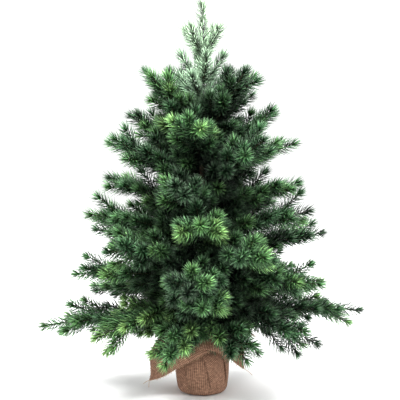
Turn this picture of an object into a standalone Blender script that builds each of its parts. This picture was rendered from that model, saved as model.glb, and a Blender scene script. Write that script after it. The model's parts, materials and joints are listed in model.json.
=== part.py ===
"""Artificial tabletop tree on a burlap-wrapped weighted base, as separate parts at their real size.

Metres, +Z up. The origin is the centre of the base's underside. Each branch is one wired piece that
bends at its root, where its ball end sits against the tier's binding wire, so a branch object has its
origin on that bend. A branch's mesh runs out along its own +X and rises in its own XZ plane.
"""

import math
from dataclasses import dataclass

import bmesh
import bpy
from mathutils import Matrix, Vector

# Clearance between neighbouring solids.
GAP = 0.0003

# Weighted base: a thin plastic cup, filled with cement round the foot of the trunk pole.
CUP_BOTTOM_Z = 0.0018
CUP_TOP_Z = 0.0600
CUP_RADIUS = 0.0360
CUP_WALL = 0.0012
CUP_FOOT_BEVEL = 0.0035
CEMENT_TOP_Z = 0.0520
POLE_FOOT_Z = 0.0120

# Trunk: a steel pole with tape wound round it, and a binding wire at each tier.
POLE_RADIUS = 0.0030
POLE_TOP_Z = 0.4380
TAPE_THICKNESS = 0.0014
TAPE_BOTTOM_Z = 0.0560
TAPE_TOP_Z = 0.4340
TAPE_WAVES = 8
BINDING_WIDTH = 0.0022
BINDING_HEIGHT = 0.0056

# Burlap square gathered round the base and tied above it.
BURLAP_THICKNESS = 0.0014
BURLAP_FLOOR_RADIUS = 0.0340
BURLAP_RADIUS = 0.0384
BURLAP_SHOULDER_Z = 0.0625
NECK_Z = 0.0860
NECK_RADIUS = 0.0120
NECK_HALF_HEIGHT = 0.0048
RUFFLE_LENGTH = 0.0230
FLAP_ARCH = 0.0080
BURLAP_AROUND = 32
TIE_CORD_RADIUS = 0.0014
TIE_TURNS = 3

# Branches.
FIRST_TIER_Z = 0.1210
FIRST_TIER_STEP = 0.0280
STEP_GROWTH = 0.0019
BALL_RADIUS = 0.0021
WIRE_RADIUS = 0.0015
CORE_RADIUS = 0.0042
SPRIG_RADIUS = 0.0036
TIP_RADIUS = 0.0009
SPINE_SIDES = 5
SPRIG_SIDES = 4
SPLAY_AT_START = 46.0
SPLAY_AT_END = 30.0
SPRIG_LIFT = 7.0
SPRIG_SHARE = 0.42
SPRIG_STATIONS = (0.34, 0.45, 0.58, 0.69)

# Leader.
LEADER_ROOT_Z = 0.4405
LEADER_TOP_Z = 0.5930
LEADER_LEVELS = ((0.0360, 0.0500, 12.0), (0.0790, 0.0450, 57.0))
LEADER_SPRIGS_AROUND = 4
LEADER_SPLAY = 43.0


@dataclass(frozen=True)
class Branch:
    """One branch's own place and shape. Its lift falls by bow_deg from the middle to the tip."""

    azimuth_deg: float
    lift_deg: float
    bow_deg: float
    reach: float


@dataclass(frozen=True)
class Tier:
    """One evenly spaced tier: how many branches, how steep, how long, and where the first points."""

    count: int
    lift_deg: float
    bow_deg: float
    reach: float
    turn_deg: float


# The two skirt tiers are shaped by hand: long at the sides, and pulled down in front over the base.
SKIRT_TIERS = (
    (
        Branch(azimuth_deg=2, lift_deg=1.5, bow_deg=5, reach=0.2280),
        Branch(azimuth_deg=62, lift_deg=-6, bow_deg=6, reach=0.2050),
        Branch(azimuth_deg=120, lift_deg=-8, bow_deg=6, reach=0.2000),
        Branch(azimuth_deg=181, lift_deg=-4, bow_deg=5, reach=0.2300),
        Branch(azimuth_deg=246, lift_deg=-22, bow_deg=10, reach=0.1290),
        Branch(azimuth_deg=299, lift_deg=-20, bow_deg=10, reach=0.1240),
    ),
    (
        Branch(azimuth_deg=30, lift_deg=-1, bow_deg=5, reach=0.1880),
        Branch(azimuth_deg=90, lift_deg=3, bow_deg=5, reach=0.1820),
        Branch(azimuth_deg=150, lift_deg=0, bow_deg=5, reach=0.1900),
        Branch(azimuth_deg=209.5, lift_deg=-15, bow_deg=6, reach=0.1720),
        Branch(azimuth_deg=270, lift_deg=5, bow_deg=4, reach=0.1600),
        Branch(azimuth_deg=328, lift_deg=-15, bow_deg=6, reach=0.1880),
    ),
)
UPPER_TIERS = (
    Tier(count=5, lift_deg=1, bow_deg=4, reach=0.1850, turn_deg=46),
    Tier(count=5, lift_deg=10, bow_deg=3, reach=0.1720, turn_deg=10),
    Tier(count=5, lift_deg=15, bow_deg=2, reach=0.1550, turn_deg=50),
    Tier(count=4, lift_deg=21, bow_deg=1, reach=0.1380, turn_deg=-14),
    Tier(count=4, lift_deg=27, bow_deg=0, reach=0.1560, turn_deg=31),
    Tier(count=4, lift_deg=35, bow_deg=-2, reach=0.1210, turn_deg=-7),
    Tier(count=4, lift_deg=49, bow_deg=-3, reach=0.1190, turn_deg=38),
)

# How far an upper branch's own azimuth, lift and reach stray from its tier's.
AZIMUTH_STRAYS_DEG = 3.0
LIFT_STRAYS_DEG = 2.6
REACH_STRAYS = 0.045


@dataclass(frozen=True)
class BurlapCorner:
    """One corner of the burlap square, hanging outside the base."""

    azimuth_deg: float
    reach: float
    tip_z: float


BURLAP_CORNERS = (
    BurlapCorner(azimuth_deg=11.25, reach=0.098, tip_z=0.046),
    BurlapCorner(azimuth_deg=101.25, reach=0.084, tip_z=0.026),
    BurlapCorner(azimuth_deg=191.25, reach=0.090, tip_z=0.002),
    BurlapCorner(azimuth_deg=303.75, reach=0.086, tip_z=0.030),
)


def clear_scene():
    """Removes whatever the scene holds."""
    for thing in list(bpy.data.objects):
        bpy.data.objects.remove(thing, do_unlink=True)


def make_material(name, colour, roughness, metallic=0.0):
    """Returns a Principled BSDF material of one linear colour."""
    material = bpy.data.materials.new(name)
    material.use_nodes = True
    shader = material.node_tree.nodes["Principled BSDF"]
    shader.inputs["Base Color"].default_value = (*colour, 1.0)
    shader.inputs["Roughness"].default_value = roughness
    shader.inputs["Metallic"].default_value = metallic
    return material


def add_part(name, shape, material, sharp_deg=40.0, is_closed=True):
    """Turns a bmesh into a named object with its material, facing out and shaded smooth."""
    if is_closed:
        bmesh.ops.recalc_face_normals(shape, faces=shape.faces)
    mesh = bpy.data.meshes.new(name)
    shape.to_mesh(mesh)
    shape.free()
    mesh.materials.append(material)
    mesh.shade_smooth()
    mesh.set_sharp_from_angle(angle=math.radians(sharp_deg))
    thing = bpy.data.objects.new(name, mesh)
    bpy.context.scene.collection.objects.link(thing)
    return thing


def turned(profile, segments, ring=False):
    """Turns (radius, z) points about Z. A ring's profile is a loop; the others start and end on the axis."""
    shape = bmesh.new()
    columns = []
    for step in range(segments):
        angle = math.tau * step / segments
        column = []
        for radius, z in profile:
            if radius == 0.0 and step > 0:
                column.append(columns[0][len(column)])
                continue
            column.append(shape.verts.new((radius * math.cos(angle), radius * math.sin(angle), z)))
        columns.append(column)
    spans = len(profile) if ring else len(profile) - 1
    for step in range(segments):
        here = columns[step]
        there = columns[(step + 1) % segments]
        for low in range(spans):
            high = (low + 1) % len(profile)
            corners = (here[low], there[low], there[high], here[high])
            shape.faces.new(list(dict.fromkeys(corners)))
    return shape


def add_tube(shape, points, radii, sides):
    """Adds a closed tapered tube through points to a bmesh."""
    side = Vector((0.0, 1.0, 0.0))
    rings = []
    for index, point in enumerate(points):
        before = points[max(index - 1, 0)]
        after = points[min(index + 1, len(points) - 1)]
        along = (after - before).normalized()
        up = along.cross(side).normalized()
        side = up.cross(along).normalized()
        ring = []
        for step in range(sides):
            angle = math.tau * (step + 0.5) / sides
            offset = side * math.cos(angle) + up * math.sin(angle)
            ring.append(shape.verts.new(point + offset * radii[index]))
        rings.append(ring)
    for low, high in zip(rings, rings[1:]):
        for step in range(sides):
            after = (step + 1) % sides
            shape.faces.new((low[step], low[after], high[after], high[step]))
    shape.faces.new(rings[0][::-1])
    shape.faces.new(rings[-1])


def tape_radius():
    """Returns the outer radius of the trunk with its tape."""
    return POLE_RADIUS + GAP + TAPE_THICKNESS


def pivot_radius():
    """Returns how far a branch's bend is from the trunk's axis."""
    return tape_radius() + GAP + BINDING_WIDTH + GAP + BALL_RADIUS


def tier_z(index):
    """Returns the height at which a tier's branches are bound, counting tiers from 0 at the bottom."""
    return FIRST_TIER_Z + index * FIRST_TIER_STEP + STEP_GROWTH * index * (index - 1) / 2


def tier_branches():
    """Returns a list of every tier's branches, the bottom tier first."""
    tiers = [list(skirt) for skirt in SKIRT_TIERS]
    for index, tier in enumerate(UPPER_TIERS, start=len(SKIRT_TIERS)):
        branches = []
        for number in range(tier.count):
            wave = 1.1 * number + 1.7 * index
            azimuth = tier.turn_deg + 360.0 * number / tier.count
            branches.append(
                Branch(
                    azimuth_deg=azimuth + AZIMUTH_STRAYS_DEG * math.sin(2.0 * wave),
                    lift_deg=tier.lift_deg + LIFT_STRAYS_DEG * math.cos(wave),
                    bow_deg=tier.bow_deg,
                    reach=tier.reach * (1.0 + REACH_STRAYS * math.sin(3.0 * wave)),
                )
            )
        tiers.append(branches)
    return tiers


def spine_points(branch, fractions):
    """Returns points and directions along a branch's main stem, which bows evenly in its own XZ plane."""
    found = []
    steps = 60
    point = Vector((0.0, 0.0, 0.0))
    walked = 0
    for fraction in fractions:
        while walked < round(fraction * steps):
            share = (walked + 0.5) / steps
            angle = math.radians(branch.lift_deg + branch.bow_deg * (1.0 - 2.0 * share))
            point = point + Vector((math.cos(angle), 0.0, math.sin(angle))) * branch.reach / steps
            walked += 1
        angle = math.radians(branch.lift_deg + branch.bow_deg * (1.0 - 2.0 * fraction))
        found.append((point.copy(), Vector((math.cos(angle), 0.0, math.sin(angle)))))
    return found


def sprig_points(start, along, splay_sign, length, splay_start, splay_end, lift_deg):
    """Returns three points down a side sprig that leaves a stem at a splay and curves forward."""
    across = Vector((0.0, 1.0, 0.0))
    over = along.cross(across)
    over = over if over.z > 0 or abs(over.z) < 1e-6 else -over
    points = [start.copy()]
    runs = (0.3, 0.7)
    for index, run in enumerate(runs):
        share = index / (len(runs) - 1)
        splay = math.radians(splay_start + (splay_end - splay_start) * share) * splay_sign
        lift = math.radians(lift_deg)
        level = along * math.cos(splay) + across * math.sin(splay)
        points.append(points[-1] + (level * math.cos(lift) + over * math.sin(lift)) * length * run)
    return points


def branch_plan(branch):
    """Returns a branch's stem and its side sprigs, each as points and radii, in the branch's own axes."""
    fractions = (0.22, 0.29, 0.58, 0.88, 1.0)
    radii = (WIRE_RADIUS, CORE_RADIUS, CORE_RADIUS, 0.8 * CORE_RADIUS, TIP_RADIUS)
    ball = (Vector((-0.75, 0, 0)) * BALL_RADIUS, Vector((0, 0, 0)), Vector((0.75, 0, 0)) * BALL_RADIUS)
    ball_radii = (0.6 * BALL_RADIUS, BALL_RADIUS, WIRE_RADIUS)
    stem = list(ball) + [point for point, _ in spine_points(branch, fractions)]
    sprigs = []
    side = 1
    for station in SPRIG_STATIONS:
        (start, along), = spine_points(branch, (station,))
        length = SPRIG_SHARE * branch.reach * (1.15 - station)
        points = sprig_points(start, along, side, length, SPLAY_AT_START, SPLAY_AT_END, SPRIG_LIFT)
        sprigs.append((points, (0.5 * SPRIG_RADIUS, SPRIG_RADIUS, TIP_RADIUS)))
        side = -side
    return (stem, (*ball_radii, *radii)), sprigs


def joined(stem, sprigs, name, material):
    """Makes a stem object with its sprigs united to it by a Boolean, whose cutter isn't rendered."""
    stem_shape = bmesh.new()
    add_tube(stem_shape, stem[0], stem[1], SPINE_SIDES)
    part = add_part(name, stem_shape, material)
    sprig_shape = bmesh.new()
    for points, radii in sprigs:
        add_tube(sprig_shape, points, radii, SPRIG_SIDES)
    cutter = add_part(f"{name}_sprigs", sprig_shape, material)
    cutter.hide_render = True
    cutter.display_type = "WIRE"
    cutter.parent = part
    union = part.modifiers.new("sprigs", "BOOLEAN")
    union.operation = "UNION"
    union.solver = "EXACT"
    union.use_self = True
    union.object = cutter
    return part


def build_base():
    """Builds the cup, the cement in it and the trunk pole that the cement holds."""
    cup = make_material("black_plastic", (0.012, 0.012, 0.013), 0.55)
    bevel = CUP_FOOT_BEVEL
    inner = CUP_RADIUS - CUP_WALL
    floor_z = CUP_BOTTOM_Z + CUP_WALL
    outline = ((0.0, floor_z), (inner - bevel, floor_z), (inner, floor_z + bevel), (inner, CUP_TOP_Z))
    outline += ((CUP_RADIUS, CUP_TOP_Z), (CUP_RADIUS, CUP_BOTTOM_Z + bevel))
    outline += ((CUP_RADIUS - bevel, CUP_BOTTOM_Z), (0.0, CUP_BOTTOM_Z))
    add_part("base_cup", turned(outline, 24), cup)

    cement = make_material("cement", (0.35, 0.34, 0.32), 0.95)
    hole = POLE_RADIUS + GAP
    outer = inner - GAP
    outline = ((0.0, POLE_FOOT_Z), (hole, POLE_FOOT_Z), (hole, CEMENT_TOP_Z))
    outline += ((outer, CEMENT_TOP_Z), (outer, floor_z + GAP + bevel))
    outline += ((outer - bevel, floor_z + GAP), (0.0, floor_z + GAP))
    add_part("cement_weight", turned(outline, 24), cement)

    steel = make_material("steel", (0.42, 0.42, 0.42), 0.4, 1.0)
    foot = POLE_FOOT_Z + GAP
    outline = ((0.0, foot), (POLE_RADIUS, foot), (POLE_RADIUS, POLE_TOP_Z), (0.0, POLE_TOP_Z))
    add_part("trunk_pole", turned(outline, 12), steel)


def build_trunk_tape():
    """Builds the tape as a sleeve round the pole, with a slight wave where its turns overlap."""
    brown = make_material("trunk_tape", (0.06, 0.045, 0.028), 0.8)
    inner = POLE_RADIUS + GAP
    outline = [(inner, TAPE_TOP_Z), (inner, TAPE_BOTTOM_Z)]
    for wave in range(TAPE_WAVES + 1):
        z = TAPE_BOTTOM_Z + (TAPE_TOP_Z - TAPE_BOTTOM_Z) * wave / TAPE_WAVES
        outline.append((tape_radius() - (0.0002 if wave % 2 else 0.0), z))
    add_part("trunk_tape", turned(outline, 10, ring=True), brown)


def build_binding_wires():
    """Builds the ring of binding wire that holds each tier's branches to the trunk."""
    wire = make_material("binding_wire", (0.05, 0.07, 0.04), 0.5, 0.6)
    inner = tape_radius() + GAP
    outer = inner + BINDING_WIDTH
    for index in range(len(SKIRT_TIERS) + len(UPPER_TIERS)):
        low = tier_z(index) - BINDING_HEIGHT / 2
        high = tier_z(index) + BINDING_HEIGHT / 2
        edge = BINDING_HEIGHT / 4
        outline = ((inner, low), (inner, high), (outer, high - edge), (outer, low + edge))
        add_part(f"tier_{index + 1}_binding", turned(outline, 12, ring=True), wire)


def corner_share(azimuth_deg, corner):
    """Returns 1 at a burlap corner's azimuth, falling to 0 halfway to its neighbours."""
    away = abs((azimuth_deg - corner.azimuth_deg + 180.0) % 360.0 - 180.0)
    return max(0.0, 1.0 - away / 45.0)


def burlap_edge(azimuth_deg, share):
    """Returns (radius, z) on the burlap above its tie: share 0 is at the neck and 1 at the cloth's edge."""
    ruffle_radius = NECK_RADIUS + RUFFLE_LENGTH * math.sin(1.1 * share)
    ruffle_z = NECK_Z + 0.35 * RUFFLE_LENGTH * math.sin(1.6 * share)
    radius, z = ruffle_radius, ruffle_z
    for corner in BURLAP_CORNERS:
        weight = corner_share(azimuth_deg, corner) ** 1.3
        arch = math.sin(math.pi * min(share * 1.25, 1.0)) * FLAP_ARCH
        flap_radius = NECK_RADIUS + (corner.reach - NECK_RADIUS) * share ** 0.9
        flap_z = NECK_Z + (corner.tip_z - NECK_Z) * share**2 + arch
        radius += (flap_radius - ruffle_radius) * weight
        z += (flap_z - ruffle_z) * weight
    return radius, z


def build_burlap():
    """Builds the burlap square: flat under the base, up its wall, gathered at the neck, corners hanging."""
    cloth = make_material("burlap", (0.33, 0.20, 0.11), 0.95)
    below = ((BURLAP_FLOOR_RADIUS, 0.0), (BURLAP_RADIUS - 0.0012, 0.0016), (BURLAP_RADIUS, 0.0056))
    below += ((BURLAP_RADIUS, BURLAP_SHOULDER_Z), (0.0335, 0.0710), (0.0200, 0.0800))
    below += ((NECK_RADIUS, NECK_Z - NECK_HALF_HEIGHT), (NECK_RADIUS, NECK_Z + NECK_HALF_HEIGHT))
    shares = (0.16, 0.36, 0.60, 0.82, 1.0)
    shape = bmesh.new()
    centre = shape.verts.new((0.0, 0.0, 0.0))
    columns = []
    for step in range(BURLAP_AROUND):
        azimuth = 360.0 * step / BURLAP_AROUND
        outline = list(below)
        for share in shares:
            radius, z = burlap_edge(azimuth, share)
            outline.append((radius, z + NECK_HALF_HEIGHT))
        column = []
        for radius, z in outline:
            turn = math.radians(azimuth)
            column.append(shape.verts.new((radius * math.cos(turn), radius * math.sin(turn), z)))
        columns.append(column)
    for step in range(BURLAP_AROUND):
        here = columns[step]
        there = columns[(step + 1) % BURLAP_AROUND]
        shape.faces.new((centre, there[0], here[0]))
        for low in range(len(here) - 1):
            shape.faces.new((here[low], there[low], there[low + 1], here[low + 1]))
    part = add_part("burlap_wrap", shape, cloth, is_closed=False)
    thickness = part.modifiers.new("thickness", "SOLIDIFY")
    thickness.thickness = BURLAP_THICKNESS
    thickness.offset = -1.0
    return part


def build_tie():
    """Builds the jute tie as tight turns round the burlap's neck."""
    jute = make_material("jute", (0.36, 0.25, 0.14), 0.9)
    inner = NECK_RADIUS + GAP + 0.0002
    height = 2 * TIE_CORD_RADIUS * TIE_TURNS
    low = NECK_Z - height / 2
    outline = [(inner, low + height), (inner, low)]
    for turn in range(TIE_TURNS):
        middle = low + (2 * turn + 1) * TIE_CORD_RADIUS
        for lean in (-55, 55):
            angle = math.radians(lean)
            outline.append(
                (inner + 0.0006 + TIE_CORD_RADIUS * math.cos(angle), middle + TIE_CORD_RADIUS * math.sin(angle))
            )
    add_part("neck_tie", turned(outline, 16, ring=True), jute)


def build_branches():
    """Builds every branch, turned to its place, with its origin on its bend."""
    needles = make_material("needles", (0.018, 0.075, 0.035), 0.6)
    for index, branches in enumerate(tier_branches()):
        for number, branch in enumerate(branches):
            stem, sprigs = branch_plan(branch)
            part = joined(stem, sprigs, f"tier_{index + 1}_branch_{number + 1}", needles)
            azimuth = math.radians(branch.azimuth_deg)
            reach = pivot_radius()
            part.location = (reach * math.cos(azimuth), reach * math.sin(azimuth), tier_z(index))
            part.rotation_euler = (0.0, 0.0, azimuth)


def leader_plan():
    """Returns the leader's stem and its whorls of sprigs, each as points and radii, from its bend up."""
    height = LEADER_TOP_Z - LEADER_ROOT_Z
    shares = (0.0, 0.03, 0.18, 0.24, 0.55, 0.92, 1.0)
    radii = (BALL_RADIUS, WIRE_RADIUS, WIRE_RADIUS, CORE_RADIUS, CORE_RADIUS, 0.6 * CORE_RADIUS, TIP_RADIUS)
    stem = [Vector((0.0, 0.0, height * share)) for share in shares]
    sprigs = []
    for rise, length, turn in LEADER_LEVELS:
        for number in range(LEADER_SPRIGS_AROUND):
            spin = Matrix.Rotation(math.radians(turn + 360.0 * number / LEADER_SPRIGS_AROUND), 4, "Z")
            out = Vector((math.sin(math.radians(LEADER_SPLAY)), 0.0, math.cos(math.radians(LEADER_SPLAY))))
            start = Vector((0.0, 0.0, rise))
            points = [spin @ (start + out * length * share) for share in (0.0, 0.3, 1.0)]
            sprigs.append((points, (0.4 * SPRIG_RADIUS, SPRIG_RADIUS, TIP_RADIUS)))
    return (stem, radii), sprigs


def build_leader():
    """Builds the leader, the top shoot that stands on the pole, with its origin on its bend."""
    fresh = make_material("leader_needles", (0.10, 0.24, 0.12), 0.6)
    stem, sprigs = leader_plan()
    part = joined(stem, sprigs, "leader", fresh)
    part.location = (0.0, 0.0, LEADER_ROOT_Z)


def main():
    clear_scene()
    build_base()
    build_trunk_tape()
    build_binding_wires()
    build_burlap()
    build_tie()
    build_branches()
    build_leader()


main()
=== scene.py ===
"""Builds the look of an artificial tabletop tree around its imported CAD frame."""

from __future__ import annotations

import json
import logging
import math
from dataclasses import dataclass, field
from enum import Enum

import bpy
import numpy as np
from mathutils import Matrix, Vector


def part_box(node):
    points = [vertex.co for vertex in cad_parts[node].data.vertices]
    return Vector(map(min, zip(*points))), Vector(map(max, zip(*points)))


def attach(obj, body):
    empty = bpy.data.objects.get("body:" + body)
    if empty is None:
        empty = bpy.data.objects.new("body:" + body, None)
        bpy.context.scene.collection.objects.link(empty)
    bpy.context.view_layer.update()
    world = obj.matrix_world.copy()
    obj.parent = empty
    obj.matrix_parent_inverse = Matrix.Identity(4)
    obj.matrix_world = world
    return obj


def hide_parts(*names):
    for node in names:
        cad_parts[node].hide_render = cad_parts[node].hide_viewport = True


Array = np.ndarray
Material = bpy.types.Material
Piece = bpy.types.Object
Socket = bpy.types.NodeSocket
Draw = np.random.Generator
Place = tuple[float, float, float]

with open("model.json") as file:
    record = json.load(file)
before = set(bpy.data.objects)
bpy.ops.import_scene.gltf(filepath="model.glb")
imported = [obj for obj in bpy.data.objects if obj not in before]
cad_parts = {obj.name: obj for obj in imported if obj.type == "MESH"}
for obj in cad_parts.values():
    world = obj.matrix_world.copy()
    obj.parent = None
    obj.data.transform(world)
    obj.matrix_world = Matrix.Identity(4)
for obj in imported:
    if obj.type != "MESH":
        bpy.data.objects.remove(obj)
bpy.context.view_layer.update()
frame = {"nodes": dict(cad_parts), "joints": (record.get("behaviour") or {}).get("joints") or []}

LOG = logging.getLogger("tabletop_tree")
MM = 0.001
GOLDEN_ANGLE = math.pi * (3.0 - math.sqrt(5.0))
UP = np.array((0.0, 0.0, 1.0))
# How far to each side of a place on a line its direction is measured.
HEADING_STEP = 0.5 * MM
# A needle's thickness as a share of its width. Cut film is flat, so each needle glints by how it is turned.
FILM_FLATNESS = 0.55
# Where a needle is widest, as a share of its length, and how wide its root is beside that.
BELLY_PLACE = 0.55
ROOT_WIDTH = 0.36
SPRIG_POINTS = 14
# The bare wire at a sprig's root.
BARE_ROOT = 2 * MM


# ---- Colour and shader helpers ----


def linear(hex_colour: str) -> tuple[float, float, float, float]:
    """Turns an sRGB hex colour into the linear colour that shaders use.

    Args:
        hex_colour: Six hex digits, red first.

    Returns:
        Red, green, blue and alpha, linear.
    """
    found = []
    for start in (0, 2, 4):
        value = int(hex_colour[start : start + 2], 16) / 255.0
        found.append(value / 12.92 if value <= 0.04045 else ((value + 0.055) / 1.055) ** 2.4)
    return (found[0], found[1], found[2], 1.0)


class Shader:
    """A material whose nodes are added one at a time, ending in a Principled shader."""

    def __init__(self, name: str) -> None:
        """Starts the material.

        Args:
            name: The real material and how its surface was made.
        """
        self.material = bpy.data.materials.new(name)
        self.material.use_nodes = True
        self.tree = self.material.node_tree
        self.surface = self.tree.nodes["Principled BSDF"]

    def add(self, kind: str, settings: dict | None = None, give: str | int = 0, **links: object) -> Socket:
        """Adds one node, sets its properties, and fills or links its sockets.

        Args:
            kind: Blender's name for the node, without the ShaderNode in front.
            settings: Properties of the node itself.
            give: The name or the place of the output to return.
            **links: A value or an output socket for each input, by its name with _ for a space,
                or by in0, in1 and so on for its place.

        Returns:
            The new node's output.
        """
        made = self.tree.nodes.new(f"ShaderNode{kind}")
        for key, value in (settings or {}).items():
            setattr(made, key, value)
        for key, value in links.items():
            place = int(key[2:]) if key.startswith("in") and key[2:].isdigit() else key.replace("_", " ")
            self.put(made.inputs[place], value)
        return made.outputs[give]

    def put(self, socket: Socket, value: object) -> None:
        """Links an output to a socket, or sets the socket's own value.

        Args:
            socket: The input.
            value: An output socket, or a plain value.
        """
        if isinstance(value, Socket):
            self.tree.links.new(value, socket)
        else:
            socket.default_value = value

    def ramp(self, factor: Socket, stops: tuple[tuple[float, str], ...]) -> Socket:
        """Adds a colour ramp.

        Args:
            factor: What moves along the ramp.
            stops: Places from 0 to 1 with their hex colours.

        Returns:
            The ramp's colour output.
        """
        made = self.add("ValToRGB", in0=factor)
        elements = made.node.color_ramp.elements
        while len(elements) < len(stops):
            elements.new(0.5)
        for element, (place, colour) in zip(elements, stops):
            element.position = place
            element.color = linear(colour)
        return made

    def finish(self, **values: object) -> Material:
        """Fills the Principled shader's sockets and returns the material.

        Args:
            **values: A value or an output socket for each input, by its name with _ for a space.

        Returns:
            The finished material.
        """
        for key, value in values.items():
            self.put(self.surface.inputs[key.replace("_", " ")], value)
        return self.material


# ---- Finishes ----


@dataclass(frozen=True)
class NeedleFinish:
    """Cut PVC film and moulded PE needles: satin green, old ones deep and bluish, fresh ones yellow-green,
    and darker towards the trunk partly as painted shade.
    """

    name: str = "pvc_needle_film"
    roughness: float = 0.28
    # The pale grey-green mixed into each needle towards its tip, and its share, are a painted sheen: a
    # painted highlight of the film.
    painted_sheen: str = "8FA58C"
    painted_sheen_share: float = 0.20
    old: str = "0A1A0E"
    middle: str = "264A2A"
    young: str = "4C7740"
    fresh: str = "7B9F59"

    def material(self) -> Material:
        """Returns the needles' material. The satin film's small pale glints are painted into the colour
        towards each needle's tip, as a painted highlight.
        """
        shader = Shader(self.name)
        # The fresh attribute holds each sprig's own green and, lower towards the stem and trunk, painted
        # shade; the darkest stop is mostly that painted shade.
        growth_and_trunk_shade = shader.add("Attribute", {"attribute_name": "fresh"}, "Fac")
        along = shader.add("Attribute", {"attribute_name": "along"}, "Fac")
        stops = ((0.0, self.old), (0.35, self.middle), (0.7, self.young), (1.0, self.fresh))
        green = shader.ramp(growth_and_trunk_shade, stops)
        # Painted highlight: from the middle of each needle out to its tip, the green is mixed with the pale
        # sheen colour.
        painted_sheen = shader.add("MapRange", in0=along, in1=0.4, in2=1.0, in3=0.0, in4=self.painted_sheen_share)
        base = shader.add(
            "Mix", {"data_type": "RGBA"}, "Result", in0=painted_sheen, in6=green, in7=linear(self.painted_sheen)
        )
        # Painted shade and light: each needle's colour is darkened at its root by the stem and lightened
        # towards its tip.
        tip = shader.add("MapRange", in0=along, in1=0.0, in2=1.0, in3=0.05, in4=2.0)
        # A strand of film is 1 mm wide, so its blotches are drawn about 6 mm long to show at all.
        blotch = shader.add("TexNoise", Scale=160.0, Detail=2.0)
        spread = shader.add("MapRange", in0=blotch, in1=0.3, in2=0.7, in3=0.7, in4=1.35)
        # Each needle's tone: its own random lightness, painted highlights, and painted shade towards the
        # trunk.
        strip = shader.add("Attribute", {"attribute_name": "tone"}, "Fac")
        shaded = shader.add("Math", {"operation": "MULTIPLY"}, in0=tip, in1=spread)
        light = shader.add("Math", {"operation": "MULTIPLY"}, in0=shaded, in1=strip)
        colour = shader.add("VectorMath", {"operation": "SCALE"}, in0=base, Scale=light)
        return shader.finish(Base_Color=colour, Roughness=self.roughness, Specular_IOR_Level=0.14)


@dataclass(frozen=True)
class StemFinish:
    """Twisted steel wire dipped in dark brown-green PVC: dull, with darker hollows between the strands."""

    name: str = "pvc_wrapped_wire"
    dark: str = "232A18"
    light: str = "5A5434"

    def material(self) -> Material:
        """Returns the stems' material. Fine mottling keeps the wire from looking like bare metal."""
        shader = Shader(self.name)
        mottle = shader.add("TexNoise", Scale=420.0, Detail=3.0)
        colour = shader.ramp(mottle, ((0.35, self.dark), (0.7, self.light)))
        return shader.finish(Base_Color=colour, Roughness=0.62)


@dataclass(frozen=True)
class TapeFinish:
    """Waxed crepe paper, wound on: brown and dull, with fine wrinkles across the strip."""

    name: str = "waxed_crepe_paper_tape"
    # Crepe wrinkles are about 0.5 mm apart, too fine to show, so they are drawn 1.2 mm apart.
    wrinkle_pitch: float = 1.2 * MM
    dark: str = "33261A"
    light: str = "6B4E38"

    def material(self) -> Material:
        """Returns the tape's material. Its wrinkles break up the light, so it doesn't look like plastic."""
        shader = Shader(self.name)
        place = shader.add("TexCoord", None, "Object")
        squeezed = shader.add("Mapping", in0=place, Scale=(1.0, 1.0, 0.25))
        wrinkle = shader.add("TexNoise", in0=squeezed, Scale=1.0 / self.wrinkle_pitch, Detail=3.0)
        stain = shader.add("TexNoise", in0=place, Scale=45.0, Detail=2.0)
        # The colour follows the stain, and the wrinkles' troughs are painted darker as shade.
        both = shader.add("Math", {"operation": "MULTIPLY_ADD"}, in0=wrinkle, in1=0.6, in2=stain)
        colour = shader.ramp(both, ((0.6, self.dark), (1.0, self.light)))
        bump = shader.add("Bump", Strength=0.5, Distance=0.3 * MM, Height=wrinkle)
        return shader.finish(Base_Color=colour, Roughness=0.7, Normal=bump)


@dataclass(frozen=True)
class LacquerFinish:
    """Soft iron binding wire, drawn and lacquered dark green: a thin gloss, worn grey on the crowns."""

    name: str = "lacquered_iron_wire"
    lacquer: str = "26301D"
    worn: str = "5C5F52"

    def material(self) -> Material:
        """Returns the wire's material. The coat gives the thin bright line that tells wire from thread."""
        shader = Shader(self.name)
        scuff = shader.add("TexNoise", Scale=900.0, Detail=3.0)
        colour = shader.ramp(scuff, ((0.55, self.lacquer), (0.72, self.worn)))
        return shader.finish(Base_Color=colour, Roughness=0.4, Coat_Weight=0.4, Coat_Roughness=0.15)


@dataclass(frozen=True)
class JuteFinish:
    """Spun jute yarn: pale straw brown with darker fibres, hairy and without shine."""

    name: str = "spun_jute_yarn"
    dark: str = "8A6A4E"
    light: str = "D6B796"

    def material(self) -> Material:
        """Returns the yarn's material. Streaks of light and dark fibre make it look spun, not moulded."""
        shader = Shader(self.name)
        fibre = shader.add("TexNoise", Scale=700.0, Detail=4.0, Roughness=0.7)
        colour = shader.ramp(fibre, ((0.3, self.dark), (0.65, self.light)))
        bump = shader.add("Bump", Strength=0.4, Distance=0.2 * MM, Height=fibre)
        return shader.finish(Base_Color=colour, Roughness=0.95, Normal=bump, Specular_IOR_Level=0.1)


@dataclass(frozen=True)
class CupFinish:
    """Polypropylene, injection moulded in a spark-eroded tool: near black, with an even fine grain."""

    name: str = "moulded_polypropylene"
    # The tool's grain is about 0.1 mm, so it is drawn at 0.8 mm.
    grain: float = 0.8 * MM
    dark: str = "161617"
    light: str = "242426"

    def material(self) -> Material:
        """Returns the cup's material. The grain spreads the highlight into a soft sheen."""
        shader = Shader(self.name)
        grain = shader.add("TexNoise", Scale=1.0 / self.grain, Detail=2.0)
        flow = shader.add("TexNoise", Scale=30.0, Detail=1.0)
        colour = shader.ramp(flow, ((0.35, self.dark), (0.65, self.light)))
        bump = shader.add("Bump", Strength=0.25, Distance=0.1 * MM, Height=grain)
        return shader.finish(Base_Color=colour, Roughness=0.5, IOR=1.49, Normal=bump)


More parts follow.
